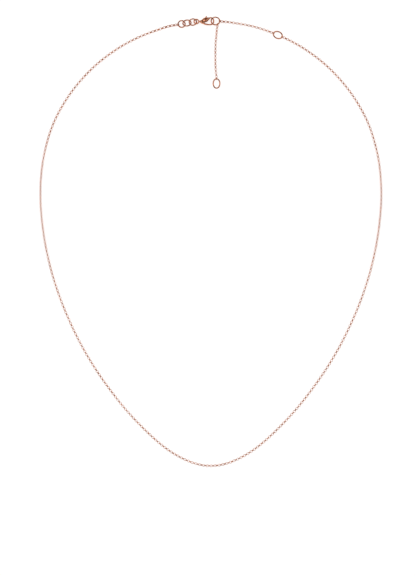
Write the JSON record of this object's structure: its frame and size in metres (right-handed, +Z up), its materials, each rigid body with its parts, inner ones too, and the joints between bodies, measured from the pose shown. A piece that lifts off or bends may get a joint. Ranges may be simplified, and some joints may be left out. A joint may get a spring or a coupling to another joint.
{
  "type": "chain necklace",
  "caption": "Adjustable trace-chain necklace in rose gold with a sprung lobster clasp, connector rings, a size ring on one arm and a short extender chain ending in an oval ring.",
  "frame": {"origin": "middle of the footprint of the closed necklace, on the surface that it lies on", "axes": "+Y from the lowest point of the loop to the clasp, +Z up from the surface, +X towards the arm with the size ring"},
  "size_m": [0.1338, 0.1756, 0.0025],
  "materials": {
    "rose_gold_chain": "polished rose gold",
    "rose_gold_rings": "polished rose gold",
    "rose_gold_clasp": "polished rose gold, cast",
    "spring_steel": "plain spring steel"
  },
  "bodies": {
    "middle_ring": {"middle_ring": "rose_gold_rings"},
    "top_chain": {"right_chain_top": "rose_gold_chain", "right_chain_01": "rose_gold_chain", "left_chain_01": "rose_gold_chain"},
    "chain_band_02": {"right_chain_02": "rose_gold_chain", "left_chain_02": "rose_gold_chain"},
    "chain_band_03": {"right_chain_03": "rose_gold_chain", "left_chain_03": "rose_gold_chain"},
    "chain_band_04": {"right_chain_04": "rose_gold_chain", "left_chain_04": "rose_gold_chain"},
    "chain_band_05": {"right_chain_05": "rose_gold_chain", "left_chain_05": "rose_gold_chain"},
    "chain_band_06": {"right_chain_06": "rose_gold_chain", "left_chain_06": "rose_gold_chain"},
    "chain_band_07": {"right_chain_07": "rose_gold_chain", "left_chain_07": "rose_gold_chain"},
    "chain_band_08": {"right_chain_08": "rose_gold_chain", "left_chain_08": "rose_gold_chain"},
    "chain_band_09": {"right_chain_09": "rose_gold_chain", "left_chain_09": "rose_gold_chain"},
    "chain_band_10": {"right_chain_10": "rose_gold_chain", "left_chain_10": "rose_gold_chain"},
    "bottom_chain": {"bottom_chain": "rose_gold_chain"},
    "connector_ring_1": {"connector_ring_1": "rose_gold_rings"},
    "connector_ring_2": {"connector_ring_2": "rose_gold_rings"},
    "connector_ring_3": {"connector_ring_3": "rose_gold_rings"},
    "clasp": {"clasp_body": "rose_gold_clasp", "lever_pin": "rose_gold_clasp", "lever_spring": "spring_steel"},
    "clasp_lever": {"clasp_lever": "rose_gold_clasp"},
    "size_ring": {"size_ring": "rose_gold_rings"},
    "extender_1": {"extender_chain_1": "rose_gold_chain"},
    "extender_2": {"extender_chain_2": "rose_gold_chain"},
    "extender_3": {"extender_chain_3": "rose_gold_chain"},
    "extender_4": {"extender_chain_4": "rose_gold_chain"},
    "end_ring": {"end_ring": "rose_gold_rings"}
  },
  "joints": [
    {"name": "necklace_lift", "type": "hinge", "parent": "middle_ring", "child": "top_chain", "pos_m": [0.00179, 0.08579, 0.00126], "axis": [-1, 0, 0], "range_deg": [0, 30]},
    {"name": "fold_01", "type": "hinge", "parent": "top_chain", "child": "chain_band_02", "pos_m": [0, 0.07, 0.00052], "axis": [-1, 0, 0], "range_deg": [0, 30]},
    {"name": "fold_02", "type": "hinge", "parent": "chain_band_02", "child": "chain_band_03", "pos_m": [0, 0.054, 0.00052], "axis": [-1, 0, 0], "range_deg": [0, 30]},
    {"name": "fold_03", "type": "hinge", "parent": "chain_band_03", "child": "chain_band_04", "pos_m": [0, 0.038, 0.00052], "axis": [-1, 0, 0], "range_deg": [0, 30]},
    {"name": "fold_04", "type": "hinge", "parent": "chain_band_04", "child": "chain_band_05", "pos_m": [0, 0.022, 0.00052], "axis": [-1, 0, 0], "range_deg": [0, 30]},
    {"name": "fold_05", "type": "hinge", "parent": "chain_band_05", "child": "chain_band_06", "pos_m": [0, 0.006, 0.00052], "axis": [-1, 0, 0], "range_deg": [0, 30]},
    {"name": "fold_06", "type": "hinge", "parent": "chain_band_06", "child": "chain_band_07", "pos_m": [0, -0.01, 0.00052], "axis": [-1, 0, 0], "range_deg": [0, 30]},
    {"name": "fold_07", "type": "hinge", "parent": "chain_band_07", "child": "chain_band_08", "pos_m": [0, -0.026, 0.00052], "axis": [-1, 0, 0], "range_deg": [0, 30]},
    {"name": "fold_08", "type": "hinge", "parent": "chain_band_08", "child": "chain_band_09", "pos_m": [0, -0.042, 0.00052], "axis": [-1, 0, 0], "range_deg": [0, 30]},
    {"name": "fold_09", "type": "hinge", "parent": "chain_band_09", "child": "chain_band_10", "pos_m": [0, -0.058, 0.00052], "axis": [-1, 0, 0], "range_deg": [0, 30]},
    {"name": "fold_10", "type": "hinge", "parent": "chain_band_10", "child": "bottom_chain", "pos_m": [0, -0.074, 0.00052], "axis": [-1, 0, 0], "range_deg": [0, 30]},
    {"name": "ring_1_twist", "type": "hinge", "parent": "top_chain", "child": "connector_ring_1", "pos_m": [-0.01137, 0.08469, 0.00096], "axis": [0.9781, 0.155, 0.139], "range_deg": [-20, 0]},
    {"name": "ring_2_twist", "type": "hinge", "parent": "top_chain", "child": "connector_ring_2", "pos_m": [-0.00929, 0.08502, 0.00126], "axis": [0.9878, 0.156, 0], "range_deg": [0, 20]},
    {"name": "ring_3_twist", "type": "hinge", "parent": "top_chain", "child": "connector_ring_3", "pos_m": [-0.007, 0.08538, 0.00126], "axis": [0.9878, 0.156, 0], "range_deg": [0, 20]},
    {"name": "clasp_roll", "type": "hinge", "parent": "top_chain", "child": "clasp", "pos_m": [-0.00562, 0.0856, 0.00126], "axis": [1, 0, 0], "range_deg": [-20, 0]},
    {"name": "lever_press", "type": "hinge", "parent": "clasp", "child": "clasp_lever", "pos_m": [-0.00287, 0.08555, 0.00126], "axis": [0, 0, -1], "range_deg": [0, 10], "stiffness_Nm_per_rad": 0.007, "springref_deg": -2.86},
    {"name": "size_ring_twist", "type": "hinge", "parent": "top_chain", "child": "size_ring", "pos_m": [0.0261, 0.08048, 0.00052], "axis": [0.9213, -0.3888, 0], "range_deg": [-20, 20]},
    {"name": "extender_lift", "type": "hinge", "parent": "middle_ring", "child": "extender_1", "pos_m": [0.0026, 0.0846, 0.00045], "axis": [-1, 0, 0], "range_deg": [0, 70]},
    {"name": "extender_sway_upper", "type": "hinge", "parent": "extender_1", "child": "extender_2", "pos_m": [0.00202, 0.07913, 0.00052], "axis": [0, 0, 1], "range_deg": [-40, 40]},
    {"name": "extender_bend", "type": "hinge", "parent": "extender_2", "child": "extender_3", "pos_m": [0.00177, 0.07403, 0.00052], "axis": [-1, 0, 0], "range_deg": [0, 45]},
    {"name": "extender_sway_lower", "type": "hinge", "parent": "extender_3", "child": "extender_4", "pos_m": [0.00178, 0.06893, 0.00052], "axis": [0, 0, 1], "range_deg": [-40, 40]},
    {"name": "end_ring_tilt", "type": "hinge", "parent": "extender_4", "child": "end_ring", "pos_m": [0.0022, 0.0634, 0.0005], "axis": [-1, 0, 0], "range_deg": [0, 60]}
  ]
}
